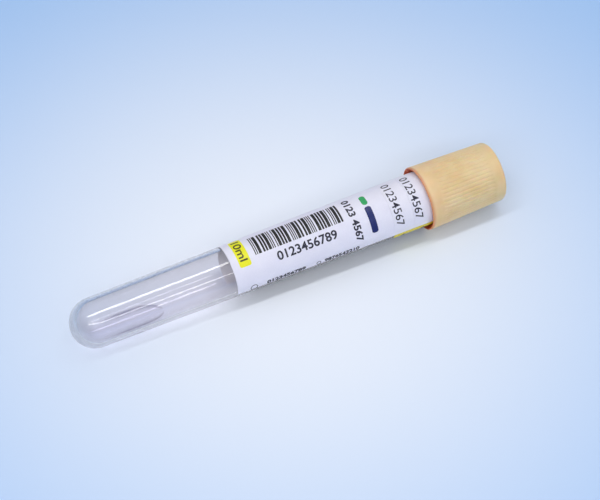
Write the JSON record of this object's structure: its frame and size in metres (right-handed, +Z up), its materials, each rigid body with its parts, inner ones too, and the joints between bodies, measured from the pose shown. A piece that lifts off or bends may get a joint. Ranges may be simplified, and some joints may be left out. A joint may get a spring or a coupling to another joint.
{
  "type": "blood collection tube",
  "caption": "Round-bottomed clear plastic blood collection tube with a ribbed twist-and-pull cap, rubber stopper, liquid preservative and wrapped label with peel-off slips.",
  "frame": {"origin": "centre of the bounding box, at the floor that the tube lies on", "axes": "+X along the tube from its round tip to its cap, +Z up, -Y the side that the label's edge and pull tabs are on"},
  "size_m": [0.1292, 0.0186, 0.0187],
  "materials": {
    "clear_pet": "clear, moulded, glossy",
    "preservative_liquid": "clear colourless liquid",
    "label_paper": "smooth white coated paper with a lavender cast",
    "slip_paper": "smooth white coated paper",
    "mark_ink": "printed yellow",
    "code_ink": "printed black",
    "tab_ink": "printed golden yellow",
    "butyl_rubber": "matt grey moulded rubber",
    "cap_plastic": "satin peach moulded plastic"
  },
  "bodies": {
    "tube_body": {"tube": "clear_pet", "preservative": "preservative_liquid", "label": "label_paper", "peel_slip_1": "slip_paper", "peel_slip_2": "slip_paper", "volume_mark": "mark_ink", "bar_code": "code_ink", "tab_print": "tab_ink"},
    "stopper_body": {"stopper": "butyl_rubber"},
    "cap_body": {"cap": "cap_plastic"}
  },
  "joints": [
    {"name": "closure_pull", "type": "slide", "parent": "tube_body", "child": "stopper_body", "axis": [0.9997, 0, 0.0239], "range_m": [0, 0.04]},
    {"name": "cap_twist", "type": "hinge", "parent": "stopper_body", "child": "cap_body", "pos_m": [0.05939, 0, 0.00979], "axis": [0.9997, 0, 0.0239], "continuous": true}
  ]
}
